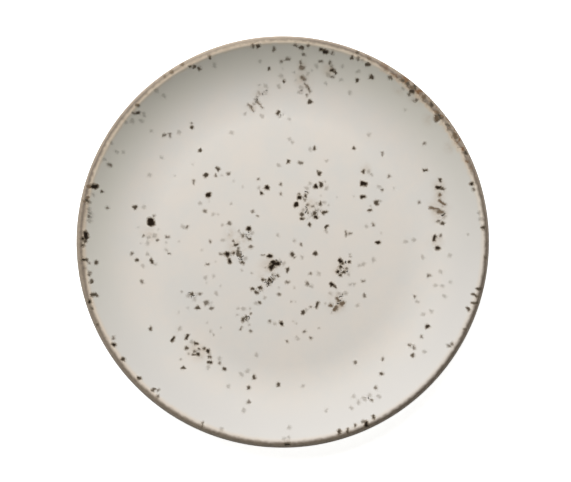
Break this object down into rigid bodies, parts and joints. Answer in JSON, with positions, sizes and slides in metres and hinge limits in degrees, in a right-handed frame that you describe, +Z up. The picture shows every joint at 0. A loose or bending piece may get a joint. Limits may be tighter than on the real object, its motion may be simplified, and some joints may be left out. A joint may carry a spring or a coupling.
{
  "type": "dinner plate",
  "caption": "Round rimless stoneware dinner plate: flat floor, curved wall, brown band round the lip, speckled off-white glaze and a bare foot ring to stand on.",
  "frame": {"origin": "on the table, at the centre of the foot ring", "axes": "+Z up out of the dish, along the axis of turning; the plate is round, so X and Y are alike, and -Y is towards the viewer of the picture"},
  "size_m": [0.27, 0.27, 0.026],
  "materials": {
    "bare_clay": "fired stoneware, matte and slightly sandy",
    "off_white_glaze": "glossy off-white glaze with dark iron specks",
    "brown_band": "satin brown oxide band with a tan fringe"
  },
  "bodies": {
    "root": {"stoneware_body": "bare_clay", "face_glaze": "off_white_glaze", "rim_band": "brown_band", "underside_glaze": "off_white_glaze", "foot_well_glaze": "off_white_glaze"}
  },
  "joints": []
}
